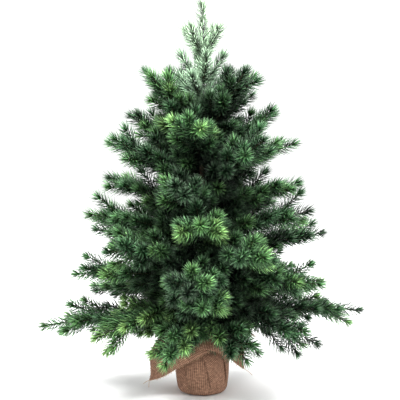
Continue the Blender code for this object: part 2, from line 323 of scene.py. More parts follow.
@dataclass(frozen=True)
class CementFinish:
    """Cement mortar, poured into the cup: pale grey, sandy, with small air holes."""

    name: str = "cast_cement_mortar"
    # Sand grains and air holes are 1 to 3 mm across.
    sand: float = 1.2 * MM
    hole_spacing: float = 6.0 * MM
    dark: str = "7C7A75"
    light: str = "B4B1AA"

    def material(self) -> Material:
        """Returns the cement's material. Sand and holes keep it rough under the soft lights."""
        shader = Shader(self.name)
        sand = shader.add("TexNoise", Scale=1.0 / self.sand, Detail=4.0)
        hole = shader.add("TexVoronoi", Scale=1.0 / self.hole_spacing)
        pit = shader.add("MapRange", in0=hole, in1=0.05, in2=0.22)
        height = shader.add("Math", {"operation": "MULTIPLY_ADD"}, in0=sand, in1=0.3, in2=pit)
        colour = shader.ramp(sand, ((0.3, self.dark), (0.7, self.light)))
        bump = shader.add("Bump", Strength=0.7, Distance=0.6 * MM, Height=height)
        return shader.finish(Base_Color=colour, Roughness=0.92, Normal=bump)


@dataclass(frozen=True)
class PoleFinish:
    """Low-carbon steel tube, cold drawn: grey and half bright, with fine lines along it."""

    name: str = "cold_drawn_steel_tube"
    # Draw lines are about 0.1 mm apart, so they are drawn 0.6 mm apart.
    line_pitch: float = 0.6 * MM
    dark: str = "8C8C8A"
    light: str = "B4B4B2"

    def material(self) -> Material:
        """Returns the tube's material. The lines stretch its highlight along the tube."""
        shader = Shader(self.name)
        place = shader.add("TexCoord", None, "Object")
        stretched = shader.add("Mapping", in0=place, Scale=(1.0, 1.0, 0.02))
        lines = shader.add("TexNoise", in0=stretched, Scale=1.0 / self.line_pitch, Detail=2.0)
        colour = shader.ramp(lines, ((0.35, self.dark), (0.65, self.light)))
        bump = shader.add("Bump", Strength=0.2, Distance=0.05 * MM, Height=lines)
        return shader.finish(Base_Color=colour, Metallic=1.0, Roughness=0.34, Normal=bump)


# ---- Mesh helpers ----


def unit(vectors: Array) -> Array:
    """Returns the vectors at length 1, along the last axis."""
    return vectors / np.maximum(np.linalg.norm(vectors, axis=-1, keepdims=True), 1e-12)


def linked(name: str, data: bpy.types.ID) -> Piece:
    """Makes an object of a mesh, lamp or camera, and puts it in the scene.

    Args:
        name: The object's name.
        data: What it holds.

    Returns:
        The object.
    """
    made = bpy.data.objects.new(name, data)
    bpy.context.scene.collection.objects.link(made)
    return made


def report(made: Piece) -> None:
    """Logs a finished piece with the number of its faces."""
    LOG.info("%s: %d faces", made.name, len(made.data.polygons))


class Soup:
    """Triangles gathered from many small shapes, which become one mesh piece."""

    def __init__(self) -> None:
        """Starts with no triangles."""
        self.points: list[Array] = []
        self.faces: list[Array] = []
        self.groups: list[Array] = []
        self.values: dict[str, list[Array]] = {"fresh": [], "along": [], "tone": []}
        self.count = 0

    def add(
        self,
        points: Array,
        faces: Array,
        group: int,
        fresh: Array | float = 0.5,
        along: Array | float = 0.5,
        tone: Array | float = 1.0,
    ) -> None:
        """Adds one shape.

        Args:
            points: Its points, n by 3.
            faces: Its triangles, m by 3.
            group: Its material's place among the piece's materials.
            fresh: How fresh the growth is, for each point, with painted shade towards the trunk in it.
            along: How far out towards the needle's tip each point is.
            tone: How light the point's needle is beside its neighbours, with painted highlights and painted
                shade in it.
        """
        self.points.append(points)
        self.faces.append(faces + self.count)
        self.groups.append(np.full(len(faces), group, np.int32))
        for key, value in (("fresh", fresh), ("along", along), ("tone", tone)):
            self.values[key].append(np.broadcast_to(value, len(points)).astype(np.float32))
        self.count += len(points)

    def piece(self, name: str, materials: list[Material]) -> Piece:
        """Makes the object.

        Args:
            name: The piece's name.
            materials: Its materials, in the order of the groups.

        Returns:
            The object, linked to the scene.
        """
        points = np.concatenate(self.points).astype(np.float32)
        faces = np.concatenate(self.faces).astype(np.int32)
        mesh = bpy.data.meshes.new(name)
        mesh.vertices.add(len(points))
        mesh.vertices.foreach_set("co", points.ravel())
        mesh.loops.add(faces.size)
        mesh.loops.foreach_set("vertex_index", faces.ravel())
        mesh.polygons.add(len(faces))
        mesh.polygons.foreach_set("loop_start", np.arange(0, faces.size, 3, dtype=np.int32))
        mesh.polygons.foreach_set("material_index", np.concatenate(self.groups))
        mesh.update(calc_edges=True)
        mesh.polygons.foreach_set("use_smooth", np.ones(len(faces), bool))
        for key, parts in self.values.items():
            attribute = mesh.attributes.new(key, "FLOAT", "POINT")
            attribute.data.foreach_set("value", np.concatenate(parts))
        for material in materials:
            mesh.materials.append(material)
        return linked(name, mesh)


@dataclass
class Line:
    """A smooth line through close points, which can be read at any distance along it."""

    points: Array
    walked: Array = field(init=False)

    def __post_init__(self) -> None:
        """Measures the line."""
        steps = np.linalg.norm(np.diff(self.points, axis=0), axis=1)
        self.walked = np.concatenate([[0.0], np.cumsum(steps)])

    @property
    def length(self) -> float:
        """How long the line is."""
        return float(self.walked[-1])

    def at(self, distances: Array) -> Array:
        """Returns the points at these distances along the line."""
        axes = [np.interp(distances, self.walked, self.points[:, axis]) for axis in range(3)]
        return np.stack(axes, axis=-1)

    def heading(self, distances: Array) -> Array:
        """Returns the line's directions at these distances."""
        ahead, behind = (np.clip(distances + step, 0, self.length) for step in (HEADING_STEP, -HEADING_STEP))
        return unit(self.at(ahead) - self.at(behind))


def eased(share: Array) -> Array:
    """Returns shares from 0 to 1 that start and end slowly."""
    return share**2 * (3.0 - 2.0 * share)


def side_of(along: Array) -> tuple[Array, Array]:
    """Finds two directions square to a line.

    Args:
        along: The line's directions.

    Returns:
        A direction across each of them, and one square to both, mostly up.
    """
    guide = np.where(np.abs(along[..., 2:3]) > 0.9, np.array((0.0, -1.0, 0.0)), UP)
    across = unit(np.cross(along, guide))
    return across, unit(np.cross(across, along))


def skin(rings: Array) -> tuple[Array, Array]:
    """Covers rings of points with triangles and closes both ends.

    Args:
        rings: The rings' points, n rings by m points by 3.

    Returns:
        Points and triangles.
    """
    count, sides = rings.shape[:2]
    rows = np.arange(count - 1)[:, None] * sides
    here = np.arange(sides)[None]
    there = (here + 1) % sides
    low, low_next = rows + here, rows + there
    first = np.stack([low, low_next, low_next + sides], axis=-1).reshape(-1, 3)
    second = np.stack([low, low_next + sides, low + sides], axis=-1).reshape(-1, 3)
    last = (count - 1) * sides
    fan = np.arange(1, sides - 1)
    start_cap = np.stack([np.zeros_like(fan), fan + 1, fan], axis=-1)
    end_cap = np.stack([np.full_like(fan, last), last + fan, last + fan + 1], axis=-1)
    return rings.reshape(-1, 3), np.concatenate([first, second, start_cap, end_cap])


def tube(centres: Array, radii: Array | float, sides: int) -> tuple[Array, Array]:
    """Makes a closed tube through points.

    Args:
        centres: Its centre line, n by 3.
        radii: Its radius, or its radius at each point.
        sides: How many sides it has.

    Returns:
        Points and triangles.
    """
    along = unit(np.gradient(centres, axis=0))
    across, over = side_of(along)
    angles = math.tau * np.arange(sides) / sides
    ring = across[:, None] * np.cos(angles)[None, :, None] + over[:, None] * np.sin(angles)[None, :, None]
    widths = np.broadcast_to(radii, len(centres))
    return skin(centres[:, None] + ring * widths[:, None, None])


def strands(soup: Soup, line: Line, radius: float, lay: float, thin_to: float = 1.0) -> None:
    """Adds the two wires or plies of a twisted stem or twine.

    Args:
        soup: Where they go, as the second material.
        line: The centre line.
        radius: The radius over both of them.
        lay: The length of one full twist.
        thin_to: How thick the far end is beside the near end.
    """
    distances = np.arange(0.0, line.length, lay / 8)
    centres = line.at(distances)
    across, over = side_of(line.heading(distances))
    taper = np.linspace(1.0, thin_to, len(distances))
    for half_turn in (0.0, math.pi):
        turn = math.tau * distances / lay + half_turn
        ring = across * np.cos(turn)[:, None] + over * np.sin(turn)[:, None]
        soup.add(*tube(centres + ring * (0.5 * radius * taper)[:, None], 0.58 * radius * taper, 5), 1)


def curving(start: Array, along: Array, aside: Array, length: float, splay_deg: Array) -> Line:
    """Makes the line of a sprig that leaves its stem at a splay and curves forward.

    Args:
        start: Where it leaves the stem.
        along: The stem's direction there.
        aside: The direction away from the stem.
        length: Its length.
        splay_deg: The angle between it and the stem, at SPRIG_POINTS places along it.

    Returns:
        The sprig's line.
    """
    splay = np.radians(splay_deg)
    heading = np.cos(splay)[:, None] * along + np.sin(splay)[:, None] * aside
    steps = 0.5 * (heading[1:] + heading[:-1]) * length / (SPRIG_POINTS - 1)
    return Line(np.concatenate([[start], start + np.cumsum(steps, axis=0)]))


def helix(radius: float, low: float, high: float, turns: float, start_deg: float) -> Array:
    """Goes up round the trunk's axis, with 20 points to the turn.

    Args:
        radius: How far from the axis.
        low: The height of the first point.
        high: The height of the last point.
        turns: How many times round.
        start_deg: The azimuth of the first point.

    Returns:
        The points.
    """
    share = np.linspace(0.0, 1.0, round(20 * turns) + 1)
    angle = math.radians(start_deg) + math.tau * turns * share
    return np.stack([radius * np.cos(angle), radius * np.sin(angle), low + (high - low) * share], axis=1)


# ---- Foliage ----


class Growth(Enum):
    """How old a sprig is, as how fresh its green looks."""

    OLD = 0.16
    SETTLED = 0.40
    YOUNG = 0.62
    FRESH = 0.95


GROWTH_SHARES = (0.22, 0.34, 0.26, 0.18)


@dataclass(frozen=True)
class Brush:
    """How needles stand on a stem: in whorls at an even pitch, each turned half a step from the last."""

    whorl_pitch: float = 4.3 * MM
    whorl_needles: int = 8
    length: float = 20.0 * MM
    tip_length: float = 16.0 * MM
    width: float = 1.6 * MM
    splay_deg: float = 52.0
    tip_splay_deg: float = 41.0
    tip_run: float = 14.0 * MM
    tuft: int = 18
    forward_curl: float = 0.14
    # Growth towards the top of the tree is made lighter, between these heights.
    pale_rise: tuple[float, float] = (0.34, 0.46)
    top_gain: float = 1.4
    # Growth at the trunk gets little light, so its film stays as dark as this share, and brightens outwards.
    shaded_share: float = 0.03
    shade_power: float = 1.7
    # Strips of film differ at random in how light they are, partly their own tone and partly painted
    # highlights that stand in for glints: the log's middle and scatter, and the least and most.
    tone_and_glint_log: tuple[float, float] = (-0.10, 0.64)
    tone_and_glint_range: tuple[float, float] = (0.18, 3.0)
    place_scatter: float = 0.5 * MM
    turn_scatter: float = 0.10
    splay_scatter_deg: float = 3.5
    size_range: tuple[float, float] = (0.9, 1.06)
    width_range: tuple[float, float] = (0.85, 1.1)
    age_scatter: float = 0.06
    most_roll: float = 0.6

    def cover(
        self,
        soup: Soup,
        line: Line,
        start: float,
        fresh: tuple[float, float],
        lit_radius: float,
        draw: Draw,
    ) -> None:
        """Covers a line with needles from a distance along it to its end.

        Args:
            soup: Where the needles go.
            line: The stem.
            start: Where the needles start, in metres along it.
            fresh: How fresh the growth is at the start and at the tip; the lower start is partly painted
                shade towards the stem and trunk.
            lit_radius: How far from the trunk the growth has its full colour.
            draw: The seeded numbers that scatter the needles.
        """
        run = line.length - start
        whorls = max(2, round(run / self.whorl_pitch))
        index = np.repeat(np.arange(whorls), self.whorl_needles)
        step = np.tile(np.arange(self.whorl_needles), whorls)
        place = start + run * (index + 0.5) / whorls + draw.normal(0.0, self.place_scatter, len(index))
        turn = math.tau * (step + 0.5 * (index % 2)) / self.whorl_needles
        place = np.concatenate([place, np.full(self.tuft, line.length - 1.0 * MM)])
        turn = np.concatenate([turn, GOLDEN_ANGLE * np.arange(self.tuft)])
        place = np.clip(place, start, line.length)
        count = len(place)
        turn = turn + draw.normal(0.0, self.turn_scatter, count)
        near_tip = np.clip(1.0 - (line.length - place) / self.tip_run, 0.0, 1.0)
        along = line.heading(place)
        across, over = side_of(along)
        out = across * np.cos(turn)[:, None] + over * np.sin(turn)[:, None]
        splay = self.splay_deg + (self.tip_splay_deg - self.splay_deg) * near_tip**1.5
        splay[-self.tuft :] = self.tip_splay_deg * np.sqrt((np.arange(self.tuft) + 0.5) / self.tuft)
        splay = np.radians(splay + draw.normal(0.0, self.splay_scatter_deg, count))
        heading = along * np.cos(splay)[:, None] + out * np.sin(splay)[:, None]
        size = self.length + (self.tip_length - self.length) * near_tip
        size = size * draw.uniform(*self.size_range, count)
        width = self.width * draw.uniform(*self.width_range, count)
        # Growth is darkest at the start and freshest at the tip: partly the inner film's own darker green,
        # partly painted shade towards the trunk.
        growth_and_trunk_shade = fresh[0] + (fresh[1] - fresh[0]) * np.clip((place - start) / run, 0.0, 1.0) ** 1.2
        growth_and_trunk_shade = np.clip(growth_and_trunk_shade + draw.normal(0.0, self.age_scatter, count), 0.0, 1.0)
        roll = draw.uniform(-self.most_roll, self.most_roll, count)
        roots = line.at(place)
        points, faces = needles(roots, heading, along, size, width, self.forward_curl, roll)
        outward = np.tile(np.array((0.0, 0.0, 0.0, 0.5, 0.5, 0.5, 1.0)), count)
        lit = np.clip(np.hypot(roots[:, 0], roots[:, 1]) / lit_radius, 0.0, 1.0)
        tone = np.clip(np.exp(draw.normal(*self.tone_and_glint_log, count)), *self.tone_and_glint_range)
        tone = tone * np.interp(roots[:, 2], self.pale_rise, (1.0, self.top_gain))
        tone = tone * (self.shaded_share + (1.0 - self.shaded_share) * lit**self.shade_power)
        soup.add(points, faces, 0, np.repeat(growth_and_trunk_shade, 7), outward, np.repeat(tone, 7))


def needles(
    roots: Array,
    heading: Array,
    along: Array,
    size: Array,
    width: Array,
    curl: float,
    roll: Array,
) -> tuple[Array, Array]:
    """Makes closed, flat, tapering needles that curl towards the stem's tip.

    Args:
        roots: Where each needle leaves the stem.
        heading: Each needle's direction.
        along: The stem's direction there.
        size: Each needle's length.
        width: Each needle's width at its middle.
        curl: How far the tip moves along the stem, as a share of the length.
        roll: How far each strip of film is turned round its own length, in radians.

    Returns:
        Points and triangles, 7 points and 10 triangles a needle.
    """
    count = len(roots)
    level = unit(np.cross(heading, along))
    upright = unit(np.cross(level, heading))
    across = level * np.cos(roll)[:, None] + upright * np.sin(roll)[:, None]
    over = (upright * np.cos(roll)[:, None] - level * np.sin(roll)[:, None]) * FILM_FLATNESS
    middle = roots + heading * (BELLY_PLACE * size)[:, None]
    tips = roots + heading * size[:, None] + along * (curl * size)[:, None]
    angles = math.tau * np.arange(3) / 3 + math.pi / 2
    ring = across[:, None] * np.cos(angles)[None, :, None] + over[:, None] * np.sin(angles)[None, :, None]
    base = roots[:, None] + ring * (ROOT_WIDTH * width)[:, None, None]
    belly = middle[:, None] + ring * (0.5 * width)[:, None, None]
    points = np.concatenate([base, belly, tips[:, None]], axis=1).reshape(-1, 3)
    pattern = [(0, 2, 1)]
    for side in range(3):
        after = (side + 1) % 3
        pattern += [(side, after, 3 + after), (side, 3 + after, 3 + side), (3 + side, 3 + after, 6)]
    faces = (np.array(pattern)[None] + (np.arange(count) * 7)[:, None, None]).reshape(-1, 3)
    return points, faces


@dataclass
class Branch:
    """One hinged branch: a twisted-wire stem with needle-covered side sprigs, built where its CAD node is."""

    tier: int
    number: int
    stem_radius: float = 1.1 * MM
    sprig_radius: float = 0.7 * MM
    bare_share: float = 0.09
    sprig_stations: tuple[float, ...] = (0.34, 0.45, 0.58, 0.69)
    # A side sprig's length is this share of the stem's, times how far it sits before this much of the stem.
    sprig_share: float = 0.42
    sprig_reach: float = 1.15
    splay_deg: tuple[float, float] = (44.0, 26.0)
    sprig_lift_deg: float = 7.0
    inner_sprigs: int = 8
    inner_run: tuple[float, float] = (0.03, 0.12)
    # Where fillers start on the stem and how far they go on, as shares of its length.
    filler_run: tuple[float, float] = (0.08, 0.70)
    filler_spacing: float = 11.5 * MM
    filler_length: float = 52.0 * MM
    filler_share: float = 0.38
    filler_turn_scatter_deg: float = 14.0
    # A filler's turn round the stem, from across it towards up, in degrees.
    level_turns: tuple[float, ...] = (16.0, 164.0, 338.0, 202.0, 90.0)
    hanging_turns: tuple[float, ...] = (14.0, 166.0, 52.0, 128.0, 90.0)
    # Beside the base, where nothing is in their way, fillers hang below a drooping branch too.
    skirt_turns: tuple[float, ...] = (8.0, 236.0, 172.0, 304.0, 270.0, 128.0)
    skirt_tier: int = 2
    droop_slope: float = -0.18
    stem_lay: float = 9.0 * MM
    eye_radius: float = 1.5 * MM
    eye_wire: float = 0.45 * MM
    lit_share: float = 0.82
    # The wire stops short of the moulded tip, which carries on this far.
    tip_growth: float = 3.0 * MM

    @property
    def node(self) -> str:
        """The CAD node that the branch stands for."""
        return f"tier_{self.tier}_branch_{self.number}"

    @property
    def body(self) -> str:
        """The CAD body that the branch moves with."""
        return f"branch_{self.tier}_{self.number}"

    def measure(self, pivot: Array) -> tuple[Line, Array, Array]:
        """Reads the stem's line from the CAD node.

        Args:
            pivot: Where the branch bends at the trunk.

        Returns:
            The stem's line, the level direction out of the trunk, and the direction across it.
        """
        mesh = frame["nodes"][self.node].data
        corners = np.array([vertex.co for vertex in mesh.vertices])
        outward = unit(np.array((pivot[0], pivot[1], 0.0)))
        across = np.cross(UP, outward)
        local = corners - pivot
        away, aside, height = local @ outward, local @ across, local[:, 2]
        reach = away.max()
        near = (np.abs(aside) < 4.4 * MM) & (away > 0.1 * reach)
        table = np.stack([away[near], away[near] ** 2], axis=1)
        slope, bow = np.linalg.lstsq(table, height[near], rcond=None)[0]
        walked = np.linspace(0.0, reach + self.tip_growth, 60)
        points = pivot + walked[:, None] * outward + (slope * walked + bow * walked**2)[:, None] * UP
        return Line(points), outward, across

    def sprig_plan(self, reach: float, drooping: bool, draw: Draw) -> list[Place]:
        """Plans the sprigs: the CAD node's own, in the branch's plane, and shorter fillers round it.

        Args:
            reach: The stem's length.
            drooping: Whether the branch hangs, which its fillers' turns depend on.
            draw: The seeded numbers that scatter the fillers.

        Returns:
            For each sprig its distance along the stem, its turn round the stem in degrees, and its length.
        """
        plan = []
        side = self.sprig_lift_deg
        for station in self.sprig_stations:
            plan.append((station * reach, side, self.sprig_share * reach * (self.sprig_reach - station)))
            side = 180.0 - side
        for _ in range(self.inner_sprigs):
            plan.append((reach * draw.uniform(*self.inner_run), draw.uniform(0.0, 360.0), self.filler_length))
        first, run = self.filler_run
        count = round(run * reach / self.filler_spacing)
        turns = self.hanging_turns if drooping else self.level_turns
        if drooping and self.tier == self.skirt_tier:
            turns = self.skirt_turns
        for number in range(count):
            share = (number + draw.uniform(0.1, 0.9)) / count
            station = reach * (first + run * share)
            turn = turns[number % len(turns)] + draw.normal(0.0, self.filler_turn_scatter_deg)
            length = min(self.filler_length, self.filler_share * reach) * (1.1 - 0.3 * share)
            length = length * draw.uniform(0.85, 1.15)
            plan.append((station, turn, length))
        return plan

    def sprig(self, start: Array, along: Array, across: Array, length: float, tilt_deg: float) -> Line:
        """Makes a side sprig's line, which leaves at a splay and curves forward.

        Args:
            start: Where it leaves the stem.
            along: The stem's direction there.
            across: The direction across the branch.
            length: Its length.
            tilt_deg: Its turn round the stem, from across the branch towards up.

        Returns:
            The sprig's line.
        """
        over = np.cross(along, across)
        over = over if over[2] > 0 else -over
        tilt = math.radians(tilt_deg)
        aside = across * math.cos(tilt) + over * math.sin(tilt)
        first, last = self.splay_deg
        splay_deg = first + (last - first) * np.linspace(0.0, 1.0, SPRIG_POINTS)
        return curving(start, along, aside, length, splay_deg)

    def eye(self, soup: Soup, pivot: Array, outward: Array) -> None:
        """Adds the wire eye by which the branch hangs on its binding.

        Args:
            soup: Where it goes.
            pivot: The middle of the eye.
            outward: The level direction out of the trunk.
        """
        angle = np.linspace(0.0, math.radians(330.0), 16)[:, None]
        ring = pivot + self.eye_radius * (np.cos(angle) * outward + np.sin(angle) * UP)
        soup.add(*tube(ring, self.eye_wire, 5), 1)

    def build(self, pivot: Array, fresh: float, brush: Brush, materials: list[Material]) -> Piece:
        """Builds the branch.

        Args:
            pivot: Where the branch bends at the trunk.
            fresh: How fresh its tips are, from 0 to 1.
            brush: How its needles stand.
            materials: The needles' and the stems' materials.

        Returns:
            The branch's piece.
        """
        draw = np.random.default_rng(1000 * self.tier + self.number)
        soup = Soup()
        line, outward, across = self.measure(pivot)
        lit_radius = self.lit_share * line.length
        strands(soup, line, self.stem_radius, self.stem_lay, 0.5)
        self.eye(soup, pivot, outward)
        # The stem's needles start near the darkest green by the trunk, and each sprig below starts darker
        # than its tip, partly as painted shade.
        brush.cover(soup, line, self.bare_share * line.length, (0.1, fresh), lit_radius, draw)
        drooping = bool(line.heading(np.array([0.5 * line.length]))[0, 2] < self.droop_slope)
        for station, tilt, length in self.sprig_plan(line.length, drooping, draw):
            start = line.at(np.array([station]))[0]
            along = line.heading(np.array([station]))[0]
            sprig = self.sprig(start, along, across, length, tilt)
            radii = np.linspace(self.sprig_radius, 0.4 * self.sprig_radius, SPRIG_POINTS)
            soup.add(*tube(sprig.points, radii, 5), 1)
            growth = tuple(Growth)[int(draw.choice(len(Growth), p=GROWTH_SHARES))]
            tip = 0.7 * growth.value + 0.3 * fresh
            brush.cover(soup, sprig, BARE_ROOT, (0.6 * tip, tip), lit_radius, draw)
        made = soup.piece(f"{self.node}_foliage", materials)
        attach(made, self.body)
        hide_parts(self.node)
        report(made)
        return made


@dataclass
class Leader:
    """The top shoot: a wire spike with rings of short, pale sprigs, the lowest ring nearly level."""

    # Each ring's height above the foot, its sprigs' length, its turn and its splay from upright, in degrees.
    rings: tuple[tuple[float, float, float, float], ...] = (
        (0.003, 0.050, 20.0, 84.0),
        (0.012, 0.052, 65.0, 58.0),
        (0.036, 0.052, 12.0, 47.0),
        (0.079, 0.048, 57.0, 47.0),
    )
    sprigs_around: int = 4
    spike_fresh: tuple[float, float] = (0.55, 0.8)
    # How fresh the lowest sprigs are, how much fresher each metre up, and how far their roots lag behind.
    ring_fresh: tuple[float, float, float] = (0.45, 4.0, 0.85)
    # A sprig's radius at its root and its tip, in millimetres.
    sprig_radii: tuple[float, float] = (0.9, 0.5)
    closing_deg: float = 20.0
    stem_radius: float = 1.3 * MM
    stem_lay: float = 9.0 * MM
    lit_radius: float = 4.0 * MM

    def build(self, brush: Brush, materials: list[Material]) -> Piece:
        """Builds the leader.

        Args:
            brush: How its needles stand.
            materials: The needles' and the stems' materials.

        Returns:
            The leader's piece.
        """
        draw = np.random.default_rng(77)
        soup = Soup()
        low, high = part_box("leader")
        height = np.linspace(low.z, high.z, 60)
        line = Line(np.stack([0 * height, 0 * height, height], axis=1))
        strands(soup, line, self.stem_radius, self.stem_lay, 0.5)
        brush.cover(soup, line, BARE_ROOT, self.spike_fresh, self.lit_radius, draw)
        lowest, per_metre, lag = self.ring_fresh
        for rise, length, turn_deg, splay_deg in self.rings:
            for number in range(self.sprigs_around):
                turn = math.radians(turn_deg + 360.0 * number / self.sprigs_around)
                outward = np.array((math.cos(turn), math.sin(turn), 0.0))
                splay = splay_deg - self.closing_deg * np.linspace(0.0, 1.0, SPRIG_POINTS)
                sprig = curving(np.array((0.0, 0.0, low.z + rise)), UP, outward, length, splay)
                soup.add(*tube(sprig.points, np.linspace(*self.sprig_radii, SPRIG_POINTS) * MM, 5), 1)
                fresh = lowest + per_metre * rise
                brush.cover(soup, sprig, BARE_ROOT, (lag * fresh, fresh), self.lit_radius, draw)
        made = soup.piece("leader_foliage", materials)
        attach(made, "leader")
        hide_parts("leader")
        report(made)
        return made


# ---- Trunk ----


@dataclass
class Trunk:
    """The trunk's paper tape, wound up the pole with each turn over the last, and the wire coils on it."""

    tape_pitch: float = 9.0 * MM
    tape_radius: float = 4.0 * MM
    tape_step: float = 0.45 * MM
    tape_wobble: float = 0.12 * MM
    row_height: float = 1.1 * MM
    sides: int = 28
    coil_radius: float = 5.6 * MM
    coil_wire: float = 0.45 * MM
    coil_turns: int = 5

    def tape(self, material: Material) -> Piece:
        """Builds the tape, whose spiral edges stand a little proud.

        Args:
            material: The tape's material.

        Returns:
            The tape's piece.
        """
        low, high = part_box("trunk_tape")
        rows = round((high.z - low.z) / self.row_height)
        height = np.linspace(low.z, high.z, rows + 1)[:, None]
        angle = math.tau * np.arange(self.sides)[None] / self.sides
        share = (height / self.tape_pitch + angle / math.tau) % 1.0
        # Two slow waves, so that the tape lies unevenly round the pole and up it.
        wobble = np.sin(3.0 * angle + 90.0 * height) + np.sin(2.0 * angle - 210.0 * height)
        radius = self.tape_radius + self.tape_step * share**2 + 0.5 * self.tape_wobble * wobble
        rings = np.stack([radius * np.cos(angle), radius * np.sin(angle), height + 0.0 * angle], axis=-1)
        soup = Soup()
        soup.add(*skin(rings), 0)
        made = soup.piece("trunk_tape_winding", [material])
        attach(made, "base")
        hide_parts("trunk_tape")
        report(made)
        return made

    def coil(self, tier: int, material: Material) -> Piece:
        """Builds one tier's binding: close turns of wire round the tape, with one short end standing out.

        Args:
            tier: The tier, from 1 at the bottom.
            material: The wire's material.

        Returns:
            The coil's piece.
        """
        node = f"tier_{tier}_binding"
        low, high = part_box(node)
        inset = self.coil_wire
        wound = helix(self.coil_radius, low.z + inset, high.z - inset, self.coil_turns, 40.0 * tier)
        soup = Soup()
        soup.add(*tube(wound, self.coil_wire, 6), 0)
        end = wound[-1]
        outward = unit(np.array((end[0], end[1], 0.0)))
        share = np.linspace(0.0, 1.0, 10)[:, None]
        pigtail = end + share * (1.4 * outward + 0.5 * UP) * MM
        soup.add(*tube(pigtail, self.coil_wire, 6), 0)
        made = soup.piece(f"{node}_coil", [material])
        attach(made, "base")
        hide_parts(node)
        report(made)
        return made


# ---- Base ----


@dataclass
class NeckTie:
    """Two-ply jute twine, wound three times round the burlap's neck and knotted in front."""

    turns: float = 3.2
    twine_radius: float = 1.35 * MM
    lay: float = 7.0 * MM
    stand_off: float = 0.1 * MM
    knot_azimuth_deg: float = 262.0
    knot_size: float = 1.5 * MM
    tail_length: float = 7.0 * MM

    def build(self, material: Material) -> Piece:
        """Builds the tie.

        Args:
            material: The twine's material.

        Returns:
            The tie's piece.
        """
        low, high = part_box("neck_tie")
        reach = high.x + self.stand_off
        soup = Soup()
        rise = self.twine_radius
        bottom, top = low.z + rise, high.z - rise
        wound = helix(reach - self.twine_radius, bottom, top, self.turns, self.knot_azimuth_deg)
        strands(soup, Line(wound), self.twine_radius, self.lay)
        turn = math.radians(self.knot_azimuth_deg)
        outward = np.array((math.cos(turn), math.sin(turn), 0.0))
        across = np.cross(UP, outward)
        middle = reach * outward + 0.5 * (low.z + high.z) * UP
        angle = np.linspace(0.0, math.tau * 0.97, 60)[:, None]
        # A trefoil knot, drawn flat against the neck.
        sideways = np.sin(angle) + 2.0 * np.sin(2.0 * angle)
        upwards = np.cos(angle) - 2.0 * np.cos(2.0 * angle)
        loops = sideways * across + upwards * UP
        knot = middle + self.knot_size * (0.6 * loops - np.sin(3.0 * angle) * outward)
        strands(soup, Line(knot), 0.8 * self.twine_radius, self.lay)
        for side in (-1.0, 1.0):
            share = np.linspace(0.0, 1.0, 16)[:, None]
            path = side * 0.5 * share * across + 0.35 * share * outward - share**1.5 * UP
            strands(soup, Line(middle + self.tail_length * path), 0.7 * self.twine_radius, self.lay)
        made = soup.piece("neck_tie_twine", [material, material])
        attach(made, "base")
        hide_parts("neck_tie")
        report(made)
        return made


def surface_piece(
    name: str, points: Array, faces: Array, material: Material
) -> Piece:
    """Makes a smooth-shaded mesh piece.

    Args:
        name: The piece's name.
        points: Its points, n by 3.
        faces: Its faces, m by 3 or m by 4.
        material: Its material.

    Returns:
        The object, linked to the scene.
    """
    mesh = bpy.data.meshes.new(name)
    mesh.from_pydata(points.tolist(), [], faces.tolist())
    mesh.polygons.foreach_set("use_smooth", np.ones(len(mesh.polygons), bool))
    mesh.materials.append(material)
    return linked(name, mesh)


@dataclass(frozen=True)
class BurlapFinish:
    """Plain-woven jute hessian: hairy tan threads, painted darker at their edges and darkest in the gaps
    between them as shade, no shine.
    """

    name: str = "woven_jute_hessian"
    # Real hessian has a thread each 1.5 to 2 mm, too fine to show, so it is drawn at 2.4 mm.
    pitch: float = 2.4 * MM
    thread: str = "B58E74"
    shade: str = "7F5E4D"
    gap_shade: str = "4D382E"

    def material(self) -> Material:
        """Returns the cloth's material, whose weave follows the flat cut's own threads."""
        shader = Shader(self.name)
        flat = shader.add("Attribute", {"attribute_name": "flat"}, "Vector")
        scaled = shader.add("VectorMath", {"operation": "SCALE"}, in0=flat, Scale=1.0 / self.pitch)
        crowns = []
        for axis in ("X", "Y"):
            part = shader.add("SeparateXYZ", None, axis, in0=scaled)
            turns = shader.add("Math", {"operation": "MULTIPLY"}, in0=part, in1=math.pi)
            wave = shader.add("Math", {"operation": "SINE"}, in0=turns)
            crowns.append(shader.add("Math", {"operation": "ABSOLUTE"}, in0=wave))
        over = shader.add("TexChecker", None, "Fac", in0=scaled, Scale=1.0)
        woven = shader.add("Mix", {"data_type": "FLOAT"}, in0=over, in2=crowns[0], in3=crowns[1])
        slub = shader.add("TexNoise", in0=flat, Scale=260.0, Detail=4.0)
        worn = shader.add("TexNoise", in0=flat, Scale=28.0, Detail=2.0)
        uneven = shader.add("Math", {"operation": "MULTIPLY"}, in0=woven, in1=slub)
        # The ramp paints shade: darker at each thread's edge and darkest in the gaps between threads.
        colour = shader.ramp(uneven, ((0.05, self.gap_shade), (0.28, self.shade), (0.6, self.thread)))
        fade = shader.add("MapRange", in0=worn, in1=0.3, in2=0.7, in3=0.82, in4=1.15)
        faded = shader.add("VectorMath", {"operation": "SCALE"}, in0=colour, Scale=fade)
        bump = shader.add("Bump", Strength=0.6, Distance=0.6 * MM, Height=uneven)
        return shader.finish(Base_Color=faded, Roughness=0.95, Normal=bump, Specular_IOR_Level=0.15)


@dataclass
class Corner:
    """One corner of the burlap square: where it points, and how it falls from the neck."""

    azimuth_deg: float
    level_run: float
    drop_deg: float
    flare_deg: float


